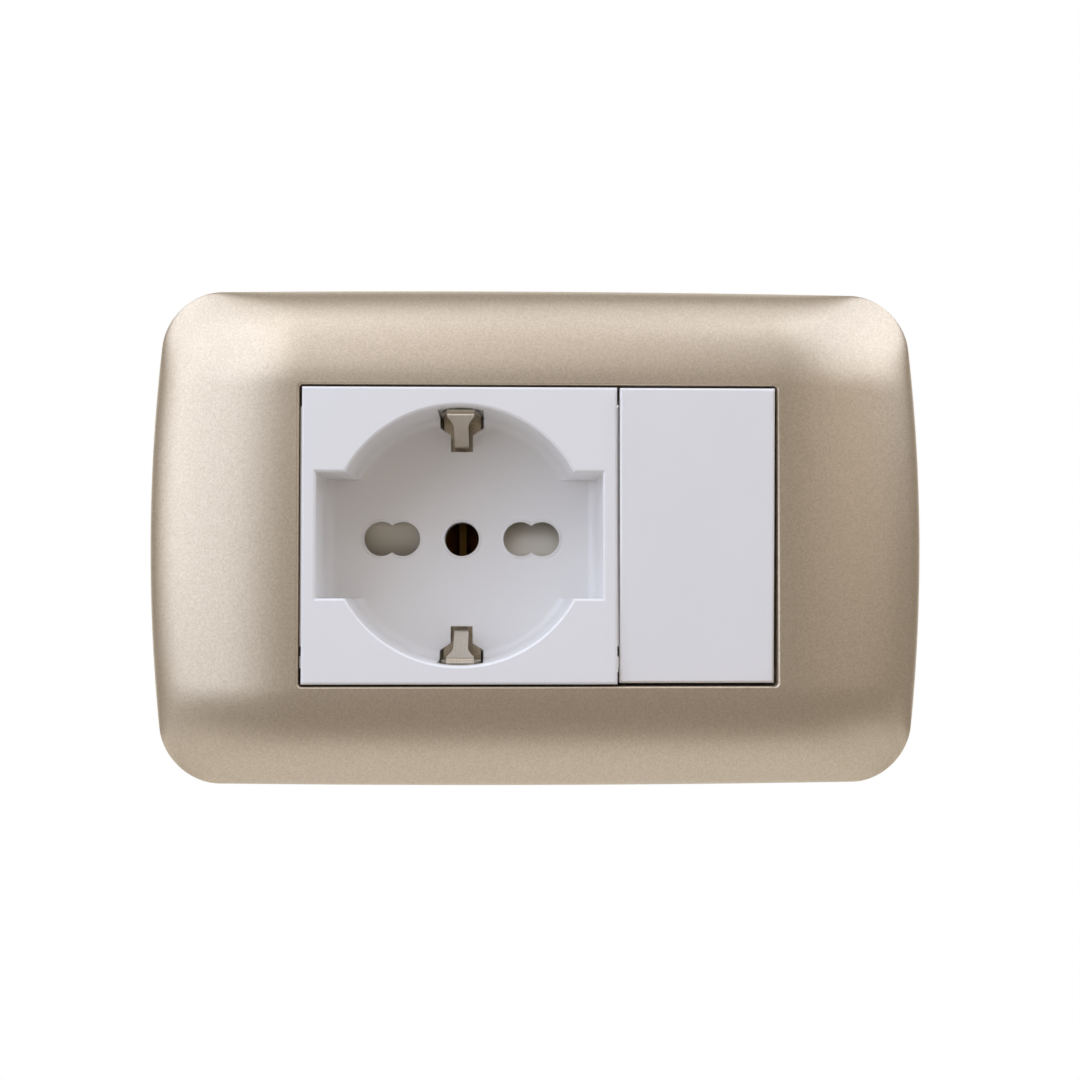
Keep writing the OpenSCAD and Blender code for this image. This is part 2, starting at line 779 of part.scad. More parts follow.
// Rotary shutter: two ramped wings on a hub round the earth hole
module shutter() {
  wing_r = outer_x + hole_r + 0.5;
  ramp_back = 1;
  ramp_z0 = -hole_r - 0.13;
  ramp_z1 = hole_r + 1.63;
  half_a = wing_angle / 2;
  color([0.84, 0.82, 0.77]) {
    translate([socket_x, 0, 0])
      difference() {
        union() {
          into_wall(y_shutter, y_shutter_back)
            circle(hub_r);
          for (turn = [0, 180])
            rotate([0, turn, 0])
              intersection() {
                into_wall(y_shutter, y_shutter_back)
                  wing_view(wing_r, half_a);
                across(0, wing_r + 1)
                  polygon([
                    [y_shutter_back, -wing_r], [y_shutter_back, wing_r], [y_shutter_back - ramp_back, wing_r],
                    [y_shutter_back - ramp_back, ramp_z1], [y_shutter + 0.1, ramp_z0 + 0.7], [y_shutter, ramp_z0],
                    [y_shutter, -wing_r]
                  ]);
              }
        }
        into_wall(y_shutter - 1, y_shutter_back + 1)
          circle(hub_bore_r);
        into_wall(y_shutter - 1, y_shutter + hub_pocket_depth)
          circle(hub_pocket_r);
      }
  }
}
module wing_view(r, half_a) {
  intersection() {
    difference() {
      circle(r);
      circle(hub_r - 0.3);
    }
    polygon([
      [0, 0], [2 * r * cos(half_a), -2 * r * sin(half_a)], [2 * r * cos(half_a), 2 * r * sin(half_a)]
    ]);
  }
}

// Torsion spring of the shutter, wound round its bearing
module shutter_spring() {
  wire_d = 0.4;
  turns = 2.6;
  coil_r = (hub_boss_r + hub_pocket_r) / 2;
  end_gap = 0.05;
  y_first = y_shutter + wire_d / 2 + end_gap;
  coil_len = hub_pocket_depth - wire_d - 2 * end_gap;
  steps = 44;
  coil = [
    for (i = [0:steps])
      let (a = 90 + 360 * turns * i / steps)
        [coil_r * cos(a), y_first + coil_len * i / steps, coil_r * sin(a)]
  ];
  color([0.7, 0.7, 0.72]) {
    translate([socket_x, 0, 0])
      wire(coil, wire_d / 2, 6);
  }
}

// Middle line of an earth clip in side view: up the well's wall, over the fold and down as a tongue
fold_y = y_face + 4.75;
fold_r = 0.35;
tongue_end = [y_floor + 0.8, throat_z + 0.45];
shoulder_len = 4.2;
function clip_path() = concat(
  [[y_strap + sheet_t / 2, 0], [y_strap + sheet_t / 2, leg_z]],
  arc_points([fold_y, leg_z - fold_r], fold_r, 90, 270, 6),
  [tongue_end]
);

// One side of a tongue seen from above, in order round its outline: -1 leads down, 1 leads back up
function tongue_side(side) = concat(
  side < 0 ? [[-fold_w / 2, fold_y - 2]] : [[tongue_w / 2, tongue_end[0] - tongue_w / 2]],
  [
    for (i = [0:6])
      let (t = side < 0 ? i / 6 : 1 - i / 6)
        [side * (tongue_w + (fold_w - tongue_w) * pow(1 - t, 2)) / 2, fold_y + 0.3 + shoulder_len * t]
  ],
  side < 0 ? [[-tongue_w / 2, tongue_end[0] - tongue_w / 2]] : [[fold_w / 2, fold_y - 2]]
);

// Earth strap: one folded sheet, with a spring clip at each end and a hole for the earth pin
module earth_strap() {
  split_z = leg_z - fold_r;
  y_back = y_cover + 1;
  color([0.66, 0.6, 0.5]) {
    translate([socket_x, 0, 0])
      difference() {
        for (turn = [0, 180])
          rotate([0, turn, 0])
            intersection() {
              across(-strap_w, strap_w)
                polygon(sheet_outline(clip_path(), sheet_t * 0.85));
              union() {
                // Cross strip and leg
                translate([0, 0, split_z])
                  linear_extrude(4)
                    polygon([
                      [-fold_w / 2, fold_y - 2], [fold_w / 2, fold_y - 2], [fold_w / 2, fold_y + 2],
                      [leg_half_w, fold_y + 7], [leg_half_w, y_back], [-leg_half_w, y_back],
                      [-leg_half_w, fold_y + 7], [-fold_w / 2, fold_y + 2]
                    ]);
                span([-strap_w / 2, y_strap - 1, -eps], [strap_w / 2, y_back, 15]);
                span([-leg_half_w, y_strap - 1, 14], [leg_half_w, y_back, 25]);
                // Tongue with hollow shoulders and a round end
                translate([0, 0, throat_z - 2])
                  linear_extrude(split_z - throat_z + 2 + eps) {
                    polygon(concat(tongue_side(-1), tongue_side(1)));
                    translate([0, tongue_end[0] - tongue_w / 2])
                      circle(tongue_w / 2);
                  }
              }
            }
        into_wall(y_strap - 1, y_back)
          circle(strap_hole_r);
        for (s = [-1, 1])
          translate([0, 0, s * rivet_z])
            into_wall(y_strap - 1, y_back)
              circle(rivet_r + thread_gap);
      }
  }
}

// Two leaves that pinch a pin, a web behind them and a tab up to the clamp
module contact_section(y_front, flared) {
  mid = (y_front + y_web) / 2 - 2;
  leaf_z = pinch_gap / 2 + sheet_t / 2;
  web_y = y_web + sheet_t / 2;
  for (s = [-1, 1])
    polygon(sheet_outline([
      [y_front, s * (leaf_z + flared)], [mid, s * leaf_z], [y_web - 1, s * (leaf_z + 0.7)],
      [web_y, s * (leaf_z + 0.7)]
    ], sheet_t));
  polygon(sheet_outline([[web_y, -leaf_z - 1], [web_y, leaf_z + 1]], sheet_t));
}
module contact_tab() {
  web_y = y_web + sheet_t / 2;
  polygon(sheet_outline([
    [web_y, 0], [web_y, tab_z], [socket_clamp_y - cage_len / 2 - 0.5, tab_z]
  ], sheet_t));
}

// Line contact: leaves wide enough for both pin spacings
module line_contact(side) {
  half_w = (outer_x - inner_x) / 2 + hole_r - 0.1;
  color([0.8, 0.62, 0.3]) {
    translate([socket_x + side * live_x, 0, 0]) {
      across(-half_w, half_w)
        contact_section(y_contact, 0.9);
      across(-tab_half_w, tab_half_w)
        contact_tab();
    }
  }
}
module live_contact() {
  line_contact(-1);
}
module neutral_contact() {
  line_contact(1);
}

rivet_z = 6.4;
rivet_r = 0.9;

// Earth contact: a strip riveted behind the strap, with two leaves bent back from its hole's sides
module earth_contact() {
  fold_x = strip_half_w - sheet_t / 2;
  leaf_x = (earth_gap + sheet_t) / 2;
  y_pinch = (y_cover + y_web) / 2 - 2;
  color([0.72, 0.54, 0.26]) {
    translate([socket_x, 0, 0])
      difference() {
        union() {
          into_wall(y_cover, y_cover + sheet_t)
            square([2 * strip_half_w, 2 * strip_half_h], center = true);
          translate([0, 0, -leaf_half_h])
            linear_extrude(2 * leaf_half_h) {
              for (s = [-1, 1])
                polygon(sheet_outline([
                  [s * fold_x, y_cover + eps], [s * fold_x, y_cover + sheet_t], [s * leaf_x, y_pinch],
                  [s * (leaf_x + 0.5), y_web - 1], [s * (leaf_x + 0.5), y_web + sheet_t / 2]
                ], sheet_t));
              translate([-leaf_x - 1, y_web])
                square([2 * leaf_x + 2, sheet_t]);
            }
          across(-tab_half_w, tab_half_w)
            contact_tab();
        }
        into_wall(y_cover - 1, y_cover + 1)
          circle(strap_hole_r);
        for (s = [-1, 1])
          translate([0, 0, s * rivet_z])
            into_wall(y_cover - 1, y_cover + 2)
              circle(rivet_r + thread_gap);
      }
  }
}

// Two rivets through the strap and the earth contact's strip
module earth_rivets() {
  color([0.75, 0.58, 0.3]) {
    for (s = [-1, 1])
      translate([socket_x, 0, s * rivet_z]) {
        into_wall(y_strap, y_cover + sheet_t + 0.1)
          circle(rivet_r);
        into_wall(y_cover + sheet_t, y_cover + sheet_t + 0.6)
          circle(rivet_r + 0.7);
      }
  }
}

// Clamp cage: a square sleeve round the tab, with a threaded top
module clamp(x, y) {
  color([0.74, 0.74, 0.7]) {
    translate([x, y, 0])
      difference() {
        span([-cage_w / 2, -cage_len / 2, cage_z0], [cage_w / 2, cage_len / 2, cage_z1]);
        span([-cage_w / 2 + cage_t, -cage_len, cage_z0 + cage_t], [cage_w / 2 - cage_t, cage_len, cage_z1 - cage_t]);
        translate([0, 0, cage_z1 - cage_t - 1])
          cylinder(h = cage_t + 2, r = clamp_screw_r + thread_gap);
      }
  }
}
module clamp_screw(x, y) {
  color([0.8, 0.8, 0.76]) {
    translate([x, y, 0])
      difference() {
        union() {
          translate([0, 0, cage_z1 - cage_t - clamp_open])
            cylinder(h = clamp_head_z - clamp_head_h - cage_z1 + cage_t + clamp_open + eps, r = clamp_screw_r);
          translate([0, 0, clamp_head_z - clamp_head_h])
            cylinder(h = clamp_head_h, r = clamp_head_r);
        }
        span([-clamp_head_r, -0.4, clamp_head_z - 1.1], [clamp_head_r, 0.4, clamp_head_z + 1]);
      }
  }
}
module live_clamp() {
  clamp(socket_x - live_x, socket_clamp_y);
}
module earth_clamp() {
  clamp(socket_x, socket_clamp_y);
}
module neutral_clamp() {
  clamp(socket_x + live_x, socket_clamp_y);
}
module live_terminal_screw() {
  clamp_screw(socket_x - live_x, socket_clamp_y);
}
module earth_terminal_screw() {
  clamp_screw(socket_x, socket_clamp_y);
}
module neutral_terminal_screw() {
  clamp_screw(socket_x + live_x, socket_clamp_y);
}

// Housing of the switch: shoulder, two bearing cheeks and an open box behind
module switch_housing() {
  deck_t = 1.4;
  color([0.9, 0.89, 0.87]) {
    translate([switch_x, 0, 0])
      difference() {
        union() {
          into_wall(y_seat - 1, y_seat)
            square([switch_w, module_h - 0.2], center = true);
          into_wall(y_seat - eps, switch_depth - switch_lid_t)
            soft_rect(switch_body_w, body_h, body_corner_r);
          for (s = [-1, 1])
            span([s * (cheek_x + cheek_t / 2) - cheek_t / 2, y_axle - 1.8, axle_rise - 4.5],
                 [s * (cheek_x + cheek_t / 2) + cheek_t / 2, y_seat - 1 + eps, axle_rise + 4.5]);
          for (s = [-1, 1])
            snap_tooth(s);
        }
        into_wall(y_seat - 1 + deck_t, switch_depth)
          square([switch_body_w - 2 * wall_t, body_h - 2 * wall_t], center = true);
        into_wall(y_seat - 2, y_seat + deck_t)
          translate([0, axle_rise])
            square([7.4, 7.4], center = true);
        translate([0, y_axle, axle_rise])
          rotate([0, 90, 0])
            cylinder(h = 2 * rocker_w, r = axle_r + turn_gap, center = true);
        for (x = [-switch_clamp_x, switch_clamp_x])
          translate([x, switch_clamp_y, cage_z1])
            cylinder(h = body_h, r = clamp_head_r + 0.4);
      }
  }
}

// Rear plate of the switch, with wire entries and the walls that seat the terminals
module switch_base() {
  slack = 0.1;
  plate_y = switch_depth - switch_lid_t;
  inner_w = switch_body_w - 2 * wall_t - 2 * slack;
  inner_h = body_h - 2 * wall_t - 2 * slack;
  color([0.86, 0.85, 0.82]) {
    translate([switch_x, 0, 0])
      difference() {
        union() {
          into_wall(plate_y, switch_depth)
            soft_rect(switch_body_w, body_h, body_corner_r);
          into_wall(plate_y - switch_lip_t, plate_y + eps)
            square([inner_w, inner_h], center = true);
          // Rest of the output shelf
          span([-shelf_half_w, y_shelf + sheet_t, shelf_z - shelf_half_h + 0.4],
               [shelf_half_w, plate_y, shelf_z + shelf_half_h - 0.4]);
        }
        for (x = [-switch_clamp_x, switch_clamp_x])
          translate([x, 0, wire_z])
            into_wall(plate_y - 3, switch_depth + 1)
              circle(wire_r);
        into_wall(switch_depth - 1.4, switch_depth + 1)
          translate([0, -body_h / 4])
            square([switch_body_w - 5, body_h / 2 - 4], center = true);
      }
  }
}

// Frame of the rocker as it lies at rest, with its lower end pressed in
module in_rocker() {
  translate([switch_x, y_axle, axle_rise])
    rotate([rocker_tilt, 0, 0])
      children();
}

// Rocker cap: a shallow moulded lid with a skirt, hollow behind
module rocker_cap() {
  skirt_t = 1.1;
  y0 = -axle_depth;
  color([0.93, 0.92, 0.92]) {
    in_rocker() {
      difference() {
        union() {
          hull() {
            into_wall(y0, y0 + eps)
              square([rocker_w - 2 * edge_bevel, rocker_h - 2 * edge_bevel], center = true);
            into_wall(y0 + edge_bevel, y0 + edge_bevel + eps)
              square([rocker_w, rocker_h], center = true);
          }
          into_wall(y0 + edge_bevel, y0 + skirt_depth)
            square([rocker_w, rocker_h], center = true);
        }
        into_wall(y0 + top_t, y0 + skirt_depth + 1)
          square([rocker_w - 2 * skirt_t, rocker_h - 2 * skirt_t], center = true);
      }
      // Hooks that hold the cradle
      for (s = [-1, 1])
        across(-hook_half_w, hook_half_w)
          polygon([for (p = [
            [y0 + top_t - eps, 0.15], [y0 + top_t - eps, 1.2], [cradle_y1 + 0.5, 1.2],
            [cradle_y1 + 0.5, -0.3], [cradle_y1 + 0.05, -0.3], [cradle_y1 + 0.05, 0.15]
          ]) [p[0], s * (cradle_half_h + p[1])]]);
    }
  }
}

// Cradle under the cap: axle and the barrel of the plunger
module rocker_cradle() {
  plate_y = -axle_depth + top_t;
  color([0.8, 0.79, 0.76]) {
    in_rocker()
      difference() {
        union() {
          span([-cradle_half_w, plate_y, -cradle_half_h], [cradle_half_w, cradle_y1, cradle_half_h]);
          span([-cradle_half_w, plate_y, -2 * axle_r], [cradle_half_w, 0.4 * axle_r, 2 * axle_r]);
          rotate([0, 90, 0])
            cylinder(h = 2 * (cheek_x + cheek_t) - 0.2, r = axle_r, center = true);
          into_wall(plate_y, barrel_end)
            circle(barrel_r);
        }
        into_wall(barrel_floor, barrel_end + 1)
          circle(plunger_r + turn_gap);
      }
  }
}

// Plunger that slides in the barrel and presses on the see-saw
module plunger() {
  color([0.85, 0.85, 0.8]) {
    in_rocker() {
      into_wall(plunger_back, plunger_tip - plunger_r)
        circle(plunger_r);
      translate([0, plunger_tip - plunger_r, 0])
        rotate([-90, 0, 0])
          rotate_extrude()
            polygon(concat([[0, -eps]], [[plunger_r, -eps]], arc_points([0, 0], plunger_r, 0, 90, 8)));
    }
  }
}

// Compression spring of the plunger
module plunger_spring() {
  turns = 6;
  steps = 72;
  coil_r = plunger_r - 0.4;
  coil = [
    for (i = [0:steps])
      let (a = 360 * turns * i / steps)
        [coil_r * cos(a), barrel_floor + 0.35 + (plunger_back - barrel_floor - 0.7) * i / steps, coil_r * sin(a)]
  ];
  color([0.7, 0.7, 0.72]) {
    in_rocker()
      wire(coil, 0.18, 6);
  }
}

// Frame of the see-saw contact as it lies at rest, with its upper end pressed back
module in_blade() {
  translate([switch_x, y_blade, axle_rise])
    rotate([-blade_tilt, 0, 0])
      children();
}

module contact_blade() {
  color([0.8, 0.6, 0.3]) {
    in_blade()
      difference() {
        span([-blade_half_w, -blade_t / 2, -blade_half_h], [blade_half_w, blade_t / 2, blade_half_h]);
        translate([0, 0, contact_z])
          into_wall(-blade_t, blade_t)
            circle(contact_r / 2 + thread_gap);
      }
  }
}

// Silver contact riveted through the blade
module moving_contact() {
  color([0.86, 0.86, 0.84]) {
    in_blade()
      translate([0, 0, contact_z]) {
        into_wall(-blade_t / 2, blade_t / 2 + eps)
          circle(contact_r / 2);
        into_wall(blade_t / 2, blade_t / 2 + contact_h)
          circle(contact_r);
      }
  }
}

module fixed_contact() {
  color([0.86, 0.86, 0.84]) {
    translate([switch_x, 0, shelf_z]) {
      into_wall(y_shelf - contact_h, y_shelf)
        circle(contact_r);
      into_wall(y_shelf - eps, y_shelf + sheet_t)
        circle(contact_r / 2);
    }
  }
}

// Post that the see-saw rocks on, an upright and the tab of its clamp
module common_terminal() {
  post_y = y_blade + blade_t / 2 + 0.14;
  upright_y = y_upright + sheet_t / 2;
  tab_y0 = switch_clamp_y - cage_len / 2 - 0.5;
  color([0.8, 0.62, 0.3]) {
    translate([switch_x, 0, 0]) {
      span([-switch_clamp_x - tab_half_w, y_upright, axle_rise - sheet_t / 2],
           [blade_half_w, y_upright + sheet_t, axle_rise + 5 * sheet_t]);
      span([-blade_half_w, post_y, axle_rise - sheet_t / 2], [blade_half_w, y_upright + eps, axle_rise + sheet_t / 2]);
      across(-switch_clamp_x - tab_half_w, -switch_clamp_x + tab_half_w)
        polygon(sheet_outline([[upright_y, axle_rise], [upright_y, tab_z], [tab_y0, tab_z]], sheet_t));
    }
  }
}

// Shelf with the fixed contact, folded into the tab of its clamp
module output_terminal() {
  shelf_y = y_shelf + sheet_t / 2;
  tab_y1 = switch_clamp_y + cage_len / 2 + 0.5;
  color([0.8, 0.62, 0.3]) {
    translate([switch_x, 0, 0])
      difference() {
        union() {
          span([-shelf_half_w, y_shelf, shelf_z - shelf_half_h],
               [switch_clamp_x + tab_half_w, y_shelf + sheet_t, shelf_z + shelf_half_h]);
          across(switch_clamp_x - tab_half_w, switch_clamp_x + tab_half_w)
            polygon(sheet_outline([[shelf_y, shelf_z - shelf_half_h], [shelf_y, tab_z], [tab_y1, tab_z]], sheet_t));
        }
        translate([0, 0, shelf_z])
          into_wall(y_shelf - 1, y_shelf + 2)
            circle(contact_r / 2 + thread_gap);
      }
  }
}

module common_clamp() {
  clamp(switch_x - switch_clamp_x, switch_clamp_y);
}
module output_clamp() {
  clamp(switch_x + switch_clamp_x, switch_clamp_y);
}
module common_terminal_screw() {
  clamp_screw(switch_x - switch_clamp_x, switch_clamp_y);
}
module output_terminal_screw() {
  clamp_screw(switch_x + switch_clamp_x, switch_clamp_y);
}

cover_plate();
mounting_frame();
box_screw_left();
box_screw_right();
socket_front();
socket_base();
socket_screw_upper();
socket_screw_lower();
contact_cover();
shutter();
shutter_spring();
earth_strap();
earth_contact();
earth_rivets();
live_contact();
neutral_contact();
live_clamp();
earth_clamp();
neutral_clamp();
live_terminal_screw();
earth_terminal_screw();
neutral_terminal_screw();
switch_housing();
switch_base();
rocker_cap();
rocker_cradle();
plunger();
plunger_spring();
contact_blade();
moving_contact();
fixed_contact();
common_terminal();
output_terminal();
common_clamp();
output_clamp();
common_terminal_screw();
output_terminal_screw();
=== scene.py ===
# Dresses a flush-mounted earthed socket outlet with a rocker switch beside it, under a metallic plate.
# All lengths are metres in the row's own frame: X right, Y into the wall, Z up, origin on the wall.
import math

import bmesh
import bpy
from mathutils import Matrix, Vector


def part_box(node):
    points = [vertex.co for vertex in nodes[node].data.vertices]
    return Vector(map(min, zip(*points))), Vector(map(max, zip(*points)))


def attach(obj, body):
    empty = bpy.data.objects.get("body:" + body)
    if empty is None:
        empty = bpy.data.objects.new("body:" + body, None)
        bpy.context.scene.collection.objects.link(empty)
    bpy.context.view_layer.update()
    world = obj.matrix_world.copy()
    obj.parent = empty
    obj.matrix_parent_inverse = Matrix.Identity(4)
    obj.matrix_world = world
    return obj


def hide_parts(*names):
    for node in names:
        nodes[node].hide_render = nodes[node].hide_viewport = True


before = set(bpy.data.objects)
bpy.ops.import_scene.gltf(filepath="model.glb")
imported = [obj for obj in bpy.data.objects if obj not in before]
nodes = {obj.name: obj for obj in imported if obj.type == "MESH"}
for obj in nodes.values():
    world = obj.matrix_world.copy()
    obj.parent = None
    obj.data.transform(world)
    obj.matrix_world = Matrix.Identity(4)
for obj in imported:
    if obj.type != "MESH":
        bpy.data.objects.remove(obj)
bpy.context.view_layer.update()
MM = 0.001


# The view: a camera a quarter of a metre in front of the socket and a little below its middle.
# Its place, turn and lens come from the round well, its floor and the two faces in the photograph.
def look_from(place_mm, pitch, roll, yaw, lens_mm):
    camera = bpy.data.objects.new("camera", bpy.data.cameras.new("camera"))
    camera.data.lens = lens_mm
    camera.data.clip_start = 10 * MM
    swing = Matrix.Rotation(yaw, 3, "Z") @ Matrix.Rotation(roll, 3, "Y")
    to_view = swing @ Matrix.Rotation(pitch, 3, "X")
    right, forward, up = to_view.row
    turn = Matrix((right, up, -forward)).transposed().to_4x4()
    camera.matrix_world = Matrix.Translation(Vector(place_mm) * MM) @ turn
    bpy.context.scene.collection.objects.link(camera)
    bpy.context.scene.camera = camera


look_from(place_mm=(-7.15, -255.66, -8.55), pitch=-0.0318, roll=0.0015, yaw=0.0295, lens_mm=54.4)


# Plain paper floor and backdrop. The camera sees them white, and the floor still takes a soft shadow.
# Their matt share bounces a little light up under the plate.
def linear(hex_colour):
    channels = [int(hex_colour[i : i + 2], 16) / 255 for i in (1, 3, 5)]
    curve = [c / 12.92 if c <= 0.04045 else ((c + 0.055) / 1.055) ** 2.4 for c in channels]
    return (*curve, 1.0)


def add_node(tree, kind, sockets=None, **settings):
    node = tree.nodes.new(kind)
    for name, value in settings.items():
        setattr(node, name, value)
    for name, value in (sockets or {}).items():
        if isinstance(value, bpy.types.NodeSocket):
            tree.links.new(value, node.inputs[name])
        else:
            node.inputs[name].default_value = value
    return node


# Sockets of the colour mix node, by number because their names repeat for each kind of data.
MIX_SHARE, MIX_FIRST, MIX_SECOND, MIX_RESULT = 0, 6, 7, 2


def new_material(name):
    material = bpy.data.materials.new(name)
    material.use_nodes = True
    tree = material.node_tree
    tree.nodes.clear()
    return material, tree


def paper(name, seen_white):
    material, tree = new_material(name)
    rays = add_node(tree, "ShaderNodeLightPath").outputs
    camera_or_gloss = add_node(
        tree,
        "ShaderNodeMath",
        {0: rays["Is Camera Ray"], 1: rays["Is Glossy Ray"]},
        operation="MAXIMUM",
    )
    any_view = add_node(
        tree,
        "ShaderNodeMath",
        {0: camera_or_gloss.outputs[0], 1: rays["Is Transmission Ray"]},
        operation="MAXIMUM",
    )
    share = add_node(
        tree, "ShaderNodeMath", {0: any_view.outputs[0], 1: seen_white}, operation="MULTIPLY"
    )
    matt = add_node(tree, "ShaderNodeBsdfDiffuse", {"Color": linear("#F2F1F0")})
    glow = add_node(tree, "ShaderNodeEmission", {"Color": (1, 1, 1, 1), "Strength": 1.0})
    mixed = add_node(
        tree, "ShaderNodeMixShader", {0: share.outputs[0], 1: matt.outputs[0], 2: glow.outputs[0]}
    )
    add_node(tree, "ShaderNodeOutputMaterial", {"Surface": mixed.outputs[0]})
    return material


def sheet_of_paper(name, corners, material):
    mesh = bpy.data.meshes.new(name)
    mesh.from_pydata(corners, [], [(0, 1, 2, 3)])
    mesh.materials.append(material)
    sheet = bpy.data.objects.new(name, mesh)
    bpy.context.scene.collection.objects.link(sheet)


FLOOR_Z = -0.6
SHEET_REACH = 1.6
FRONT_Y, BACK_Y = -0.5, 0.9
front_left, front_right = (-SHEET_REACH, FRONT_Y, FLOOR_Z), (SHEET_REACH, FRONT_Y, FLOOR_Z)
back_left, back_right = (-SHEET_REACH, BACK_Y, FLOOR_Z), (SHEET_REACH, BACK_Y, FLOOR_Z)
top_left, top_right = (-SHEET_REACH, BACK_Y, SHEET_REACH), (SHEET_REACH, BACK_Y, SHEET_REACH)
floor_corners = [front_left, front_right, back_right, back_left]
backdrop_corners = [back_left, back_right, top_right, top_left]
sheet_of_paper("floor", floor_corners, paper("floor paper", seen_white=0.9))
sheet_of_paper("backdrop", backdrop_corners, paper("backdrop paper", seen_white=1.0))


# Cool window panes and pale walls as wide soft boxes round the front, and a weak warm fill from the
# room. They put the broad highlights on the plate's two upper corners and shade the well from the
# upper left.
LAMP_DISTANCE = 0.8


def soft_box(name, azimuth, elevation, width, height, brightness, colour):
    lamp = bpy.data.lights.new(name, "AREA")
    lamp.shape = "RECTANGLE"
    lamp.size = width
    lamp.size_y = height
    lamp.energy = brightness * math.pi * width * height
    lamp.color = linear(colour)[:3]
    box = bpy.data.objects.new(name, lamp)
    turn, rise = math.radians(azimuth), math.radians(elevation)
    towards = Vector((math.sin(turn) * math.cos(rise), -math.cos(turn) * math.cos(rise), math.sin(rise)))
    box.location = LAMP_DISTANCE * towards
    box.rotation_euler = (-towards).to_track_quat("-Z", "Y").to_euler()
    bpy.context.scene.collection.objects.link(box)


# Each row: name, azimuth and elevation in degrees, width and height in metres, brightness, colour.
for lamp_values in (
    ("left window", -50, 20, 0.70, 1.00, 1.74, "#D8E5FF"),
    ("left upper pane", -50, 60, 0.50, 0.40, 1.46, "#D8E5FF"),
    ("left lamp", -30, 25, 0.35, 0.35, 0.80, "#D8E5FF"),
    ("left wall", -72, 20, 0.40, 0.70, 0.82, "#E2EBFF"),
    ("right window", 58, 42, 0.60, 0.65, 1.70, "#DAE6FF"),
    ("right upper pane", 45, 70, 0.40, 0.40, 0.72, "#DAE6FF"),
    ("right wall", 75, 30, 0.40, 0.60, 0.90, "#E2EBFF"),
    ("right lower wall", 45, 12, 0.50, 0.40, 0.37, "#FFF6EC"),
    ("ceiling", -8, 45, 0.50, 0.60, 0.68, "#F4F6FF"),
    ("far ceiling", -8, 72, 0.80, 0.40, 0.33, "#F4F6FF"),
):
    soft_box(*lamp_values)

world = bpy.data.worlds.new("room")
world.use_nodes = True
bpy.context.scene.world = world
sky = world.node_tree.nodes["Background"]
sky.inputs["Color"].default_value = linear("#FFEFDC")
sky.inputs["Strength"].default_value = 0.3
bpy.context.scene.view_settings.view_transform = "Standard"


# Mounting frame: glass-filled nylon, injection moulded in dark grey, with ratchet posts for the plate.
# The glass fibres leave a dull, slightly mottled skin.
CLOUDS_PER_METRE = 60.0
BEVEL_SAMPLES = 6


def moulded_plastic(name, colour, shade, roughness, grain_mm, grain_depth_mm, edge_mm=0.08):
    material, tree = new_material(name)
    place = add_node(tree, "ShaderNodeTexCoord").outputs["Object"]
    grain = add_node(
        tree, "ShaderNodeTexNoise", {"Vector": place, "Scale": 1 / (grain_mm * MM), "Detail": 3.0}
    )
    cloud = add_node(
        tree, "ShaderNodeTexNoise", {"Vector": place, "Scale": CLOUDS_PER_METRE, "Detail": 2.0}
    )
    tone = add_node(
        tree,
        "ShaderNodeMix",
        {MIX_SHARE: cloud.outputs["Fac"], MIX_FIRST: linear(colour), MIX_SECOND: linear(shade)},
        data_type="RGBA",
    )
    sheen = add_node(
        tree,
        "ShaderNodeMapRange",
        {"Value": grain.outputs["Fac"], "To Min": roughness - 0.04, "To Max": roughness + 0.05},
    )
    rounded = add_node(tree, "ShaderNodeBevel", {"Radius": edge_mm * MM}, samples=BEVEL_SAMPLES)
    bump = add_node(
        tree,
        "ShaderNodeBump",
        {
            "Height": grain.outputs["Fac"],
            "Strength": 0.25,
            "Distance": grain_depth_mm * MM,
            "Normal": rounded.outputs[0],
        },
    )
    surface = add_node(
        tree,
        "ShaderNodeBsdfPrincipled",
        {
            "Base Color": tone.outputs[MIX_RESULT],
            "Roughness": sheen.outputs[0],
            "Normal": bump.outputs[0],
            "IOR": 1.54,
        },
    )
    add_node(tree, "ShaderNodeOutputMaterial", {"Surface": surface.outputs[0]})
    return material


def dress(material, *names):
    for name in names:
        for slot in nodes[name].material_slots:
            slot.material = material


grey_nylon = moulded_plastic(
    "grey glass-filled nylon", "#4A4C4E", "#434547", roughness=0.52, grain_mm=0.35, grain_depth_mm=0.02
)
dress(grey_nylon, "mounting_frame")


# Box screws: pan-headed machine screws of zinc-plated steel, with 0.6 mm from thread to thread.
# Zinc gives a cool, slightly blue grey with a broad soft glint. The threads wind round each shank.
METAL_EDGE_MM, METAL_GRAIN_DEPTH_MM = 0.1, 0.01


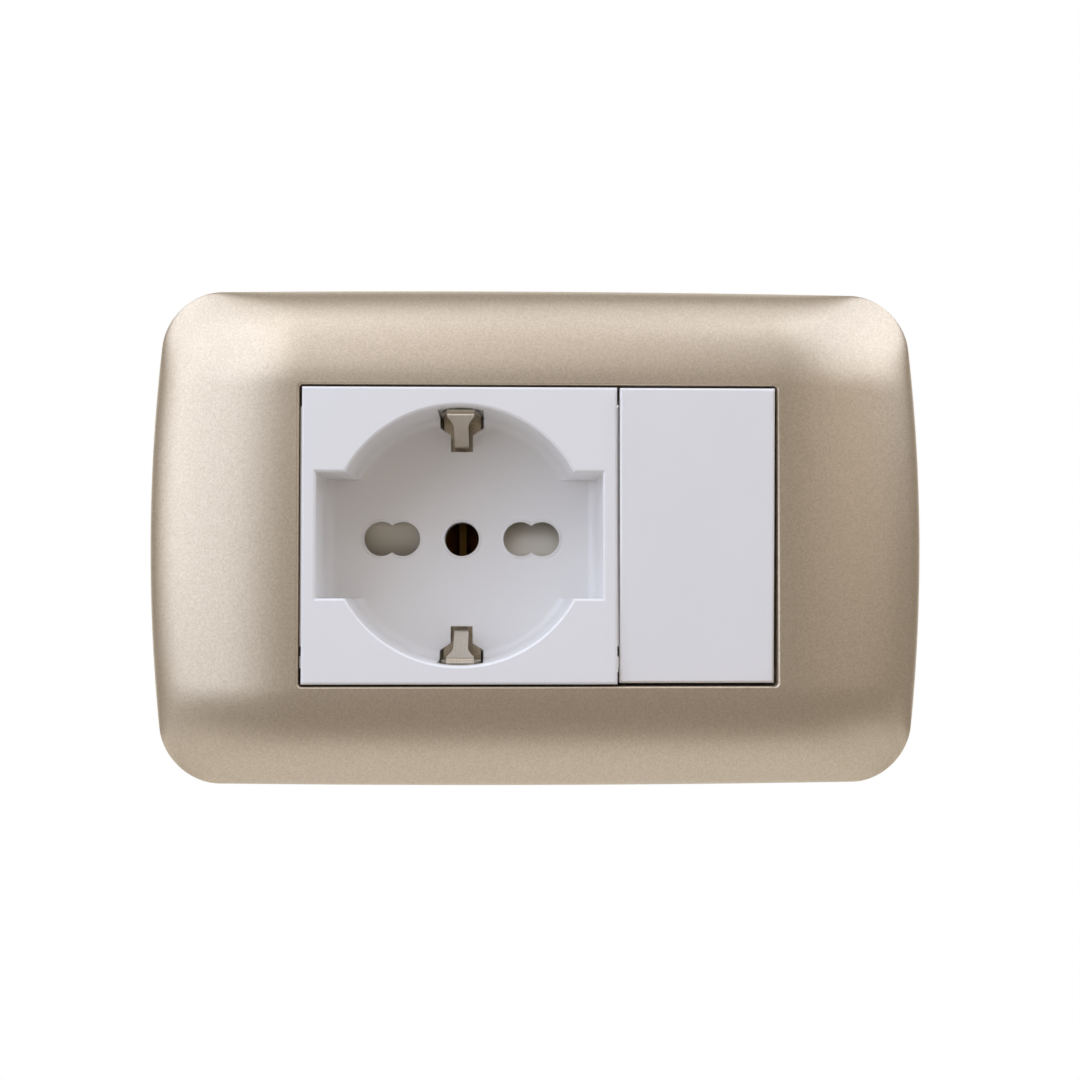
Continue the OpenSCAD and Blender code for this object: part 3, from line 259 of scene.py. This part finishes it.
def plated_metal(name, colour, shade, roughness, grain_mm, stretch=(1, 1, 1)):
    material, tree = new_material(name)
    place = add_node(tree, "ShaderNodeTexCoord").outputs["Object"]
    laid = add_node(tree, "ShaderNodeMapping", {"Vector": place, "Scale": stretch})
    grain = add_node(
        tree,
        "ShaderNodeTexNoise",
        {"Vector": laid.outputs[0], "Scale": 1 / (grain_mm * MM), "Detail": 4.0},
    )
    tone = add_node(
        tree,
        "ShaderNodeMix",
        {MIX_SHARE: grain.outputs["Fac"], MIX_FIRST: linear(colour), MIX_SECOND: linear(shade)},
        data_type="RGBA",
    )
    sheen = add_node(
        tree,
        "ShaderNodeMapRange",
        {"Value": grain.outputs["Fac"], "To Min": roughness - 0.06, "To Max": roughness + 0.08},
    )
    rounded = add_node(tree, "ShaderNodeBevel", {"Radius": METAL_EDGE_MM * MM}, samples=BEVEL_SAMPLES)
    bump = add_node(
        tree,
        "ShaderNodeBump",
        {
            "Height": grain.outputs["Fac"],
            "Strength": 0.2,
            "Distance": METAL_GRAIN_DEPTH_MM * MM,
            "Normal": rounded.outputs[0],
        },
    )
    surface = add_node(
        tree,
        "ShaderNodeBsdfPrincipled",
        {
            "Base Color": tone.outputs[MIX_RESULT],
            "Roughness": sheen.outputs[0],
            "Normal": bump.outputs[0],
            "Metallic": 1.0,
        },
    )
    add_node(tree, "ShaderNodeOutputMaterial", {"Surface": surface.outputs[0]})
    return material


def winding_tree():
    tree = bpy.data.node_groups.new("wire wound on an axis", "GeometryNodeTree")
    kinds = {
        "Axis starts": "NodeSocketGeometry",
        "Turns": "NodeSocketFloat",
        "Pitch": "NodeSocketFloat",
        "Winding radius": "NodeSocketFloat",
        "Wire radius": "NodeSocketFloat",
        "Steps in a turn": "NodeSocketInt",
        "Sides of the wire": "NodeSocketInt",
        "Lean of the axis": "NodeSocketVector",
        "Material": "NodeSocketMaterial",
    }
    for label, kind in kinds.items():
        tree.interface.new_socket(label, in_out="INPUT", socket_type=kind)
    tree.interface.new_socket("Winding", in_out="OUTPUT", socket_type="NodeSocketGeometry")
    given = add_node(tree, "NodeGroupInput").outputs
    length = add_node(
        tree, "ShaderNodeMath", {0: given["Turns"], 1: given["Pitch"]}, operation="MULTIPLY"
    )
    path = add_node(
        tree,
        "GeometryNodeCurveSpiral",
        {
            "Resolution": given["Steps in a turn"],
            "Rotations": given["Turns"],
            "Start Radius": given["Winding radius"],
            "End Radius": given["Winding radius"],
            "Height": length.outputs[0],
        },
    )
    wire = add_node(
        tree,
        "GeometryNodeCurvePrimitiveCircle",
        {"Resolution": given["Sides of the wire"], "Radius": given["Wire radius"]},
    )
    swept = add_node(
        tree,
        "GeometryNodeCurveToMesh",
        {"Curve": path.outputs["Curve"], "Profile Curve": wire.outputs["Curve"], "Fill Caps": True},
    )
    placed = add_node(
        tree,
        "GeometryNodeInstanceOnPoints",
        {
            "Points": given["Axis starts"],
            "Instance": swept.outputs["Mesh"],
            "Rotation": given["Lean of the axis"],
        },
    )
    real = add_node(tree, "GeometryNodeRealizeInstances", {"Geometry": placed.outputs["Instances"]})
    coated = add_node(
        tree,
        "GeometryNodeSetMaterial",
        {"Geometry": real.outputs["Geometry"], "Material": given["Material"]},
    )
    add_node(tree, "NodeGroupOutput", {"Winding": coated.outputs["Geometry"]})
    return tree


winding = winding_tree()
STEPS_IN_A_TURN, SIDES_OF_THE_WIRE = 18, 6
THREAD_DEPTH, THREAD_SINK = 0.12, 0.1


# A thread round each axis: a wire sunk into the shank, so that only its ridge stands out.
def wind_threads(name, starts_mm, turns, pitch_mm, shank_mm, lean, material, body):
    mesh = bpy.data.meshes.new(name)
    mesh.from_pydata([Vector(start) * MM for start in starts_mm], [], [])
    piece = bpy.data.objects.new(name, mesh)
    bpy.context.scene.collection.objects.link(piece)
    maker = piece.modifiers.new("winding", "NODES")
    maker.node_group = winding
    values = {
        "Turns": turns,
        "Pitch": pitch_mm * MM,
        "Winding radius": (shank_mm - THREAD_SINK) * MM,
        "Wire radius": (THREAD_SINK + THREAD_DEPTH) * MM,
        "Steps in a turn": STEPS_IN_A_TURN,
        "Sides of the wire": SIDES_OF_THE_WIRE,
        "Lean of the axis": lean,
        "Material": material,
    }
    for socket in winding.interface.items_tree:
        if socket.name in values:
            maker[socket.identifier] = values[socket.name]
    evaluated = piece.evaluated_get(bpy.context.evaluated_depsgraph_get())
    made = bpy.data.meshes.new_from_object(evaluated)
    piece.modifiers.clear()
    piece.data = made
    made.shade_smooth()
    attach(piece, body)


zinc_steel = plated_metal("zinc-plated steel", "#C9CBCC", "#AEB1B4", roughness=0.32, grain_mm=0.4)
dress(zinc_steel, "box_screw_left", "box_screw_right")
BOX_SCREW_X, BOX_THREAD_Y = 41.75, 0.5
wind_threads(
    "box_screw_threads",
    [(-BOX_SCREW_X, BOX_THREAD_Y, 0), (BOX_SCREW_X, BOX_THREAD_Y, 0)],
    turns=35.5,
    pitch_mm=0.6,
    shank_mm=1.7,
    lean=(-math.pi / 2, 0, 0),
    material=zinc_steel,
    body="fixed",
)


# Socket base, switch housing and the small inner mouldings: ivory polycarbonate, injection moulded.
# Their spark-eroded moulds leave a satin skin with a fine even grain.
inner_plastic = moulded_plastic(
    "ivory polycarbonate", "#E6E2D8", "#DEDACF", roughness=0.45, grain_mm=0.3, grain_depth_mm=0.01
)
dress(inner_plastic, "socket_base", "contact_cover")
dress(inner_plastic, "switch_housing", "switch_base", "rocker_cradle", "plunger")
dress(zinc_steel, "socket_screw_upper", "socket_screw_lower")


# Contacts and terminal strips: brass strip, stamped and bent, with riveted silver tips in the switch.
# Rolling leaves long fine lines in the brass, and the silver is smoother and whiter.
brass_strip = plated_metal(
    "rolled brass strip", "#A98A4E", "#8A6B36", roughness=0.34, grain_mm=0.3, stretch=(1, 0.15, 1)
)
dress(brass_strip, "earth_contact", "earth_rivets", "live_contact", "neutral_contact")
dress(brass_strip, "contact_blade", "common_terminal", "output_terminal")
silver = plated_metal("silver contact tips", "#DCDAD2", "#C8C5BC", roughness=0.25, grain_mm=0.2)
dress(silver, "moving_contact", "fixed_contact")


# Terminals: a steel cage and an M3 screw at each, which press the bared wire on the brass strip.
# Both are zinc plated, and the screws' rolled threads are 0.5 mm apart.
THREAD_LIFT = 0.3
terminal_axes = []
for terminal in ("live", "earth", "neutral", "common", "output"):
    dress(zinc_steel, terminal + "_clamp", terminal + "_terminal_screw")
    low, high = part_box(terminal + "_terminal_screw")
    middle = (low + high) / 2
    terminal_axes.append((middle.x / MM, middle.y / MM, low.z / MM + THREAD_LIFT))

wind_threads(
    "terminal_screw_threads",
    terminal_axes,
    turns=6,
    pitch_mm=0.5,
    shank_mm=1.5,
    lean=(0, 0, 0),
    material=zinc_steel,
    body="fixed",
)


# Return spring of the shutter and compression spring of the plunger: hard-drawn wire, coiled cold.
# The drawn wire is smooth, so each coil carries one thin bright line.
spring_steel = plated_metal("drawn spring steel", "#9A9B9D", "#7E8083", roughness=0.28, grain_mm=0.15)
dress(spring_steel, "shutter_spring", "plunger_spring")


# Earth strap: nickel-plated phosphor bronze sheet, stamped and folded into a spring clip at each end.
# The plating is bright and slightly warm, and its fine lines run along the sheet.
nickel_bronze = plated_metal(
    "nickel-plated phosphor bronze",
    "#E2DACB",
    "#CDC3B1",
    roughness=0.19,
    grain_mm=0.3,
    stretch=(1, 0.12, 0.12),
)
dress(nickel_bronze, "earth_strap")


# Pin shutter: a pale acetal hub with two ramped wings that close the pin holes until the pins turn it.
# Acetal is waxy, so it takes light softly and shows no sharp glints.
shutter_acetal = moulded_plastic(
    "pale shutter acetal", "#D2CCBD", "#C9C2B2", roughness=0.42, grain_mm=0.3, grain_depth_mm=0.01
)
dress(shutter_acetal, "shutter")


# Socket front and rocker cap: glossy white polycarbonate, each moulded in one piece with soft edges.
# The faces are smooth, so lamps show as blurred patches and the edges catch a thin line.
white_plastic = moulded_plastic(
    "white polycarbonate",
    "#F4F2F0",
    "#F0EEEB",
    roughness=0.3,
    grain_mm=0.6,
    grain_depth_mm=0.004,
    edge_mm=0.25,
)
dress(white_plastic, "socket_front", "rocker_cap")


# Cover plate: one polycarbonate moulding, a pillow-shaped ring sprayed with champagne metallic paint.
# Four arms behind it catch on the frame's ratchet posts. Its broad curves carry wide soft highlights.
PLATE_W, PLATE_H, PLATE_R = 120.0, 77.0, 8.6
WINDOW_W, WINDOW_H, WINDOW_R = 72.6, 45.7, 0.6
SIDE_BOW, TOP_BOW = 2.6, 0.5
CROWN_H, EDGE_H = 9.0, 1.3
SKIN_T, LIP_R, SEAT_H = 1.8, 0.28, 3.4
REACH_POWER, EDGE_POWER = 1.8, 1.5
HOLLOW_RIM, HOLLOW_WALL = 0.93, 0.085
CORNER_STEPS, LONG_SIDE_STEPS, SHORT_SIDE_STEPS = 20, 72, 48


# Outline that runs round anticlockwise from the right end of the upper right corner.
def round_rectangle(width, height, radius):
    outline = []
    for quarter in range(4):
        sign_x = 1 if quarter in (0, 3) else -1
        sign_z = 1 if quarter < 2 else -1
        next_x = 1 if quarter in (2, 3) else -1
        next_z = 1 if quarter in (0, 3) else -1
        centre = Vector((sign_x * (width / 2 - radius), sign_z * (height / 2 - radius)))
        following = Vector((next_x * (width / 2 - radius), next_z * (height / 2 - radius)))
        start = math.radians(90 * quarter)
        for step in range(CORNER_STEPS + 1):
            angle = start + math.radians(90) * step / CORNER_STEPS
            outline.append(centre + radius * Vector((math.cos(angle), math.sin(angle))))
        last = radius * Vector((math.cos(start + math.pi / 2), math.sin(start + math.pi / 2)))
        steps = LONG_SIDE_STEPS if quarter % 2 == 0 else SHORT_SIDE_STEPS
        for step in range(1, steps):
            outline.append(centre + last + (following - centre) * step / steps)
    return outline


# The plate's sides bow outwards: it narrows towards its top and bottom and lowers towards its ends.
def narrowing(z):
    return 1 - 2 * SIDE_BOW / PLATE_W * (2 * z / PLATE_H) ** 2


def lowering(x):
    return 1 - 2 * TOP_BOW / PLATE_H * (2 * x / PLATE_W) ** 2


# How far the pillow has fallen at a place, from 0 at the window to 1 at the rim.
# Near the window the side's fall and the end's fall add up, so that the corners are soft there too.
def fall(x, z, share):
    side = max(0.0, (abs(x) - WINDOW_W / 2) / (PLATE_W / 2 * narrowing(z) - WINDOW_W / 2))
    end = max(0.0, (abs(z) - WINDOW_H / 2) / (PLATE_H / 2 * lowering(x) - WINDOW_H / 2))
    near_rim = share**3
    return (side**REACH_POWER + end**REACH_POWER) * (1 - near_rim) + share**REACH_POWER * near_rim


def pillow_height(fallen):
    return EDGE_H + (CROWN_H - EDGE_H) * max(0.0, 1 - fallen) ** (1 / EDGE_POWER)


def hollow_height(fallen):
    return (CROWN_H - SKIN_T) * max(0.0, 1 - fallen / HOLLOW_RIM**REACH_POWER) ** (1 / EDGE_POWER)


# The plate's section, from the window's seat over the pillow, round the rim and back under it.
# Each step has its share of the way from window to rim, and a height or the curve that gives it.
LIP_STEPS, FACE_STEPS, SHOULDER_STEPS, HOLLOW_STEPS = 4, 36, 16, 14
FACE_START, FACE_REACH = 0.02, 0.9
SHOULDER_REACH = 0.085
HOLLOW_START, HOLLOW_STEP = 0.03, 0.0584


def plate_section():
    lip = 2 * LIP_R / (PLATE_H - WINDOW_H)
    section = [(0.0, SEAT_H), (0.0, CROWN_H - LIP_R)]
    for step in range(1, LIP_STEPS + 1):
        angle = math.radians(90) * step / LIP_STEPS
        section.append((lip * (1 - math.cos(angle)), CROWN_H - LIP_R * (1 - math.sin(angle))))
    face = [FACE_START + FACE_REACH * i / FACE_STEPS for i in range(FACE_STEPS)]
    bend = [(1 - i / SHOULDER_STEPS) ** 2 for i in range(SHOULDER_STEPS + 1)]
    shoulder = [1 - SHOULDER_REACH * part for part in bend]
    section += [(share, pillow_height) for share in face + shoulder]
    half_edge, foot_edge, foot = (0.997, EDGE_H * 0.5), (0.99, 0.1), (0.985, 0.0)
    section += [half_edge, foot_edge, foot, (HOLLOW_RIM, 0.0)]
    hollow = [HOLLOW_RIM - HOLLOW_START - HOLLOW_STEP * i for i in range(HOLLOW_STEPS)]
    section += [(share, hollow_height) for share in hollow + [HOLLOW_WALL]]
    section.append((HOLLOW_WALL, SEAT_H))
    return section


def ring(section):
    window = round_rectangle(WINDOW_W, WINDOW_H, WINDOW_R)
    rim = round_rectangle(PLATE_W, PLATE_H, PLATE_R)
    outer = [Vector((x * narrowing(z), z * lowering(x))) for x, z in rim]
    count = len(window)
    points = []
    for share, height in section:
        for inside, outside in zip(window, outer):
            x, z = inside.lerp(outside, share)
            rise = height(fall(x, z, share)) if callable(height) else height
            points.append((x * MM, -rise * MM, z * MM))
    faces = []
    rings = len(section)
    for row in range(rings):
        here, there = row * count, (row + 1) % rings * count
        for k in range(count):
            after = (k + 1) % count
            faces.append((here + k, there + k, there + after, here + after))
    return points, faces


# One arm beside its ratchet post, with a tooth that catches there and a root sunk into the skin.
POST_X, POST_Z, POST_W, POST_H = 47.0, 27.0, 4.0, 4.2
TOOTH_PITCH, TOOTH_H, TOOTH_SLACK, TOOTH_TIP = 0.8, 0.5, 0.15, 0.2
ARM_GAP, ARM_T, ARM_MIDDLE, ARM_END = 1.0, 1.4, 1.7, -1.9


def arm(side_x, side_z):
    inner, outer = ARM_GAP, ARM_GAP + ARM_T
    tooth = -POST_H + TOOTH_PITCH
    share = (2 * (POST_X + ARM_MIDDLE) - WINDOW_W) / (PLATE_W - WINDOW_W)
    root = -hollow_height(fall(POST_X + ARM_MIDDLE, POST_Z, share)) - SKIN_T / 2
    outline = [
        (inner, root),
        (inner, tooth + TOOTH_SLACK),
        (inner - TOOTH_H + TOOTH_SLACK, tooth + TOOTH_TIP),
        (inner, tooth + TOOTH_PITCH - TOOTH_SLACK),
        (inner, ARM_END),
        (outer, ARM_END),
        (outer, root),
    ]
    points, count = [], len(outline)
    for z in (POST_Z - POST_W / 2, POST_Z + POST_W / 2):
        points += [(side_x * (POST_X + x) * MM, y * MM, side_z * z * MM) for x, y in outline]
    faces = [tuple(range(count)), tuple(range(2 * count - 1, count - 1, -1))]
    faces += [(k, (k + 1) % count, (k + 1) % count + count, k + count) for k in range(count)]
    return points, faces


def joined_mesh(name, shells):
    points, faces = [], []
    for shell_points, shell_faces in shells:
        first = len(points)
        points += shell_points
        faces += [tuple(first + k for k in face) for face in shell_faces]
    mesh = bpy.data.meshes.new(name)
    mesh.from_pydata(points, [], faces)
    cleaner = bmesh.new()
    cleaner.from_mesh(mesh)
    bmesh.ops.recalc_face_normals(cleaner, faces=cleaner.faces)
    cleaner.to_mesh(mesh)
    cleaner.free()
    return mesh


# Metal flakes in two tones give the paint a faint sparkle, and the sprayed grain keeps its sheen satin.
FLAKE_MM, GRAIN_MM, GRAIN_DEPTH_MM = 0.22, 0.5, 0.02


def metallic_paint():
    material, tree = new_material("champagne metallic paint")
    place = add_node(tree, "ShaderNodeTexCoord").outputs["Object"]
    flakes = add_node(
        tree, "ShaderNodeTexVoronoi", {"Vector": place, "Scale": 1 / (FLAKE_MM * MM)}, feature="F1"
    )
    grains = add_node(
        tree, "ShaderNodeTexNoise", {"Vector": place, "Scale": 1 / (GRAIN_MM * MM), "Detail": 3.0}
    )
    tone = add_node(
        tree,
        "ShaderNodeMix",
        {
            MIX_SHARE: flakes.outputs["Color"],
            MIX_FIRST: linear("#D8C9B2"),
            MIX_SECOND: linear("#C4B49C"),
        },
        data_type="RGBA",
    )
    sheen = add_node(
        tree, "ShaderNodeMapRange", {"Value": grains.outputs["Fac"], "To Min": 0.31, "To Max": 0.39}
    )
    bump = add_node(
        tree,
        "ShaderNodeBump",
        {"Height": grains.outputs["Fac"], "Strength": 0.5, "Distance": GRAIN_DEPTH_MM * MM},
    )
    surface = add_node(
        tree,
        "ShaderNodeBsdfPrincipled",
        {
            "Base Color": tone.outputs[MIX_RESULT],
            "Roughness": sheen.outputs[0],
            "Normal": bump.outputs[0],
            "Metallic": 0.76,
        },
    )
    add_node(tree, "ShaderNodeOutputMaterial", {"Surface": surface.outputs[0]})
    return material


arms = [arm(side_x, side_z) for side_x in (-1, 1) for side_z in (-1, 1)]
plate_mesh = joined_mesh("painted_plate", [ring(plate_section())] + arms)
plate_mesh.materials.append(metallic_paint())
plate_mesh.shade_smooth()
SHARP_FROM_DEGREES = 45
plate_mesh.set_sharp_from_angle(angle=math.radians(SHARP_FROM_DEGREES))
painted_plate = bpy.data.objects.new("painted_plate", plate_mesh)
bpy.context.scene.collection.objects.link(painted_plate)
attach(painted_plate, "fixed")
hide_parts("cover_plate")
